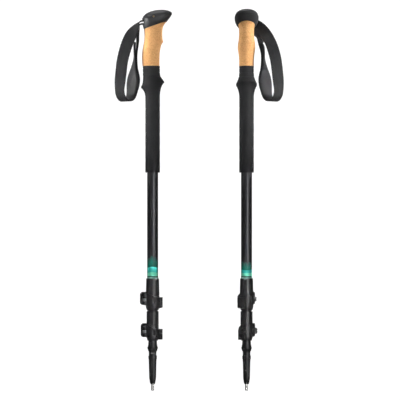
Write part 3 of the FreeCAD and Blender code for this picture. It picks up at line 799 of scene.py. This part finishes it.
def unit(vectors):
    return vectors / np.linalg.norm(vectors, axis=-1, keepdims=True)


def strap_path(side):
    """The strap's smooth middle line, with its width direction, outward face, width and the
    distance along it, at STRAP_STEPS places, and the distances at which its pad begins and ends."""
    hanging = [*OUTER_RUN, *turn_stations(), *reversed(INNER_RUN)]
    pad_ends = [(PAD_FOOT, TURN_ACROSS, 0.0), (PAD_TOP, TURN_ACROSS, 0.0)]
    if side == "right":
        hanging, pad_ends = mirrored(hanging), mirrored(pad_ends)
    stations = [*OUTER_TOP[side], *hanging, *reversed(INNER_TOP[side])]
    points, hints, widths = (np.array([s[i] for s in stations], float) for i in range(3))
    knots = distances(points)
    at = np.linspace(0, knots[-1], STRAP_STEPS)
    middle = relaxed(cubic(knots, points, at), LINE_ROUNDS)
    hint = relaxed(cubic(knots, hints, at), WIDTH_ROUNDS)
    run = unit(np.gradient(middle, axis=0))
    across = unit(hint - run * (hint * run).sum(axis=1, keepdims=True))
    along = distances(middle)
    pad = [along[np.argmin(np.linalg.norm(middle - np.array(end), axis=1))]
           for end, _, _ in pad_ends]
    return {"middle": middle, "across": across, "face": unit(np.cross(run, across)),
            "along": along, "width": cubic(knots, widths, at), "pad": pad}


def distances(points):
    """How far along its line each point lies."""
    return np.concatenate(([0], np.cumsum(np.linalg.norm(np.diff(points, axis=0), axis=1))))


def sweep(name, side, path, places, profiles):
    """A closed band along the strap: profiles holds, for each place on the path, points as
    (distance across, distance outward) in millimetres. UVs are metres across and along."""
    points, uvs = [], []
    for index, profile in zip(places, profiles):
        for across, outward in profile:
            points.append(path["middle"][index] + path["across"][index] * across
                          + path["face"][index] * outward)
            uvs.append((across * MM, path["along"][index] * MM))
    axis = np.array(FRAMES[side].translation)
    row_points = np.array(points) * MM + axis
    return make_object(name, row_points, capped(len(places), len(profiles[0])), uvs)


def smooth_step(value, low, high):
    """From 0 at low to 1 at high, level at both."""
    t = np.clip((value - low) / (high - low), 0, 1)
    return t * t * (3 - 2 * t)


def strap_webbing(side, path):
    """Flat woven webbing with soft edges, lifted off the middle line where the pad is under it."""
    pad_foot, pad_top = path["pad"]
    along = path["along"]
    lift = WEB_LIFT * smooth_step(along, pad_foot - LIFT_RUN, pad_foot)
    lift *= 1 - smooth_step(along, pad_top, pad_top + LIFT_RUN)
    across = np.linspace(-1, 1, 13)
    profiles = []
    for half, raised in zip(path["width"] / 2, lift):
        flat = across * (half - WEB_EDGE)
        outline = [(u, 1.0) for u in flat] + [(half, 0.4), (half, -0.4)]
        outline += [(u, -1.0) for u in flat[::-1]] + [(-half, -0.4), (-half, 0.4)]
        profiles.append([(u, v * WEB_HALF_THICK + raised) for u, v in outline])
    return sweep(side + "_webbing", side, path, range(STRAP_STEPS), profiles)


def strap_pad(side, path):
    """The pad inside the loop: widest where the hand rests, its lining crowned towards the hand
    and thinner at the edge all round."""
    pad_foot, pad_top = path["pad"]
    places = [i for i, d in enumerate(path["along"]) if pad_foot <= d <= pad_top]
    profiles = []
    for index in places:
        share = (path["along"][index] - pad_foot) / (pad_top - pad_foot)
        half = float(cubic(*PAD_SHAPE, [share])[0]) / 2
        end = min(share, 1 - share) * (pad_top - pad_foot)
        tip = math.sqrt(1 - (1 - min(end / PAD_ROUND, 1)) ** 2)
        half *= 0.45 + 0.55 * tip
        crown = PAD_CROWN * tip
        u = np.linspace(-1, 1, PAD_POINTS)
        body = np.sqrt(np.clip(1 - np.abs(u) ** 5, 0, 1))
        swell = 1 - u ** 2
        peel = PAD_PEEL * smooth_step(share, 0.72, 0.97)
        top = -(0.7 + (crown * swell + 0.55) * body) - peel
        under = 0.05 + 0.2 * body - peel
        profile = [(float(a * half), float(b)) for a, b in zip(u, under)]
        profile += [(float(a * half), float(b)) for a, b in zip(u[::-1][1:-1], top[::-1][1:-1])]
        profiles.append(profile)
    return sweep(side + "_pad", side, path, places, profiles)


def strap(side, webbing_look, pad_look):
    """One wrist strap: its webbing and its pad."""
    path = strap_path(side)
    webbing = strap_webbing(side, path)
    give(webbing, webbing_look)
    webbing.data.set_sharp_from_angle(angle=math.radians(60))
    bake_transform(webbing)
    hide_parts(side + "_strap_webbing")
    pad = strap_pad(side, path)
    finish_piece(pad, pad_look, side + "_strap", side + "_strap_pad", crease_degrees=60)


# ---- the studio --------------------------------------------------------------------------
VIEW_WIDTH = 0.656               # metres seen across the picture at the poles
VIEW_SHIFT = 0.0007              # how far right of the pair's middle the camera stands
VIEW_HEIGHT = 0.3124             # the height of the picture's middle
LENS, SENSOR = 180, 36
FLOOR_HEIGHT = -0.8              # low enough that the drawn-out left pole stays above it
FLOOR_REACH = 12.0
ROOM_SEEN, ROOM_LIGHT = 1.1, 0.08      # the world's strength to the camera, and to the poles
POLES_MIDDLE, POLES_FOOT = (0, 0, 0.35), (0, 0, 0.18)
# Name, place, target, watts, size, and what else it needs.
LIGHTS = (
    ("glint", (1.15, -2.2, 0.35), POLES_MIDDLE, 27, (0.4, 1.7), {"diffuse": False}),
    ("front", (0.0, -2.4, 1.0), POLES_MIDDLE, 15, 0.8, {"glossy": False}),
    ("low_front", (0.3, -2.4, 0.18), POLES_FOOT, 0.35, (0.36, 0.36),
     {"spread": 6, "glossy": False}),
    ("top", (-0.2, 0.3, 2.1), POLES_MIDDLE, 11, 1.0, {}),
    ("back", (0.6, 1.9, 1.0), POLES_MIDDLE, 8, 1.0, {"glossy": False}))
WASH_DEGREES, WASH_HEIGHT = 72, 0.51
WASH_POWER, WASH_SIZE, WASH_SPREAD = 0.11, (0.07, 0.23), 8


def floor():
    """A plain white floor. Its light doesn't reach the poles."""
    material, add = new_material("studio_floor", (0.93, 0.93, 0.93), 0.8, specular=0.1)
    cloud = add.noise(add.where, 3, 2)
    add.colour(add.ramp(cloud, [(0.3, (0.92, 0.92, 0.92)), (0.7, (0.94, 0.94, 0.94))]))
    add.shader.inputs["Emission Color"].default_value = (1, 1, 1, 1)
    add.shader.inputs["Emission Strength"].default_value = 1.0
    corners = [(x * FLOOR_REACH, y * FLOOR_REACH, FLOOR_HEIGHT)
               for x, y in ((-1, -1), (1, -1), (1, 1), (-1, 1))]
    ground = make_object("floor", corners, [(0, 1, 2, 3)])
    ground.visible_glossy = ground.visible_diffuse = False
    give(ground, material)


def white_room():
    """A world that is white to the camera and softer as a light."""
    world = bpy.data.worlds.new("studio")
    world.use_nodes = True
    tree = world.node_tree
    background = tree.nodes["Background"]
    background.inputs["Color"].default_value = (1, 1, 1, 1)
    seen = tree.nodes.new("ShaderNodeLightPath").outputs["Is Camera Ray"]
    strength = tree.nodes.new("ShaderNodeMapRange")
    strength.inputs["To Min"].default_value = ROOM_LIGHT
    strength.inputs["To Max"].default_value = ROOM_SEEN
    tree.links.new(seen, strength.inputs["Value"])
    tree.links.new(strength.outputs["Result"], background.inputs["Strength"])
    bpy.context.scene.world = world
    bpy.context.scene.view_settings.view_transform = "Standard"


def light(name, place, target, power, size, spread=180, diffuse=True, glossy=True):
    """An area light: a disc, or with two sizes an upright panel. spread is in degrees."""
    data = bpy.data.lights.new(name, "AREA")
    data.energy, data.spread = power, math.radians(spread)
    if isinstance(size, tuple):
        data.shape, data.size, data.size_y = "RECTANGLE", *size
    else:
        data.shape, data.size = "DISK", size
    lamp = bpy.data.objects.new(name, data)
    bpy.context.scene.collection.objects.link(lamp)
    lamp.location = place
    lamp.rotation_euler = (Vector(target) - Vector(place)).to_track_quat("-Z", "Y").to_euler()
    lamp.visible_diffuse, lamp.visible_glossy = diffuse, glossy


def wash(side, away):
    """A narrow light from a pole's outer side that reaches this pole's grip only."""
    axis = FRAMES[side].translation
    heading = math.radians(WASH_DEGREES)
    place = Vector((axis.x + away * math.sin(heading), axis.y - math.cos(heading), WASH_HEIGHT))
    target = (axis.x, axis.y, WASH_HEIGHT)
    light(side + "_wash", place, target, WASH_POWER, WASH_SIZE, WASH_SPREAD)


def camera():
    """Straight in front of the pair, level, from far off."""
    data = bpy.data.cameras.new("camera")
    data.lens, data.sensor_width = LENS, SENSOR
    data.clip_end = 60
    view = bpy.data.objects.new("camera", data)
    bpy.context.scene.collection.objects.link(view)
    middle = sum((FRAMES[side].translation for side in SIDES), Vector()) / 2
    view.location = (middle.x + VIEW_SHIFT, middle.y - VIEW_WIDTH * LENS / SENSOR, VIEW_HEIGHT)
    view.rotation_euler = (math.radians(90), 0, 0)
    bpy.context.scene.camera = view


def studio():
    """The floor, the world, the lights and the camera."""
    floor()
    white_room()
    for *values, extra in LIGHTS:
        light(*values, **extra)
    wash("left", -1)
    wash("right", 1)
    camera()


# ---- the whole pair ----------------------------------------------------------------------
webbing_look = webbing_material()      # first, because dress_frame() takes it up by name
dress_frame()
head_look = plastic_material("head_rubber", (0.031, 0.032, 0.034), 0.50, 1500)
cork_look, foam_look, pad_look = cork_material(), foam_material(), pad_material()
for side in SIDES:
    grip_head(side, head_look)
    cork_grip(side, cork_look)
    foam_grip(side, foam_look)
    strap(side, webbing_look, pad_look)
studio()
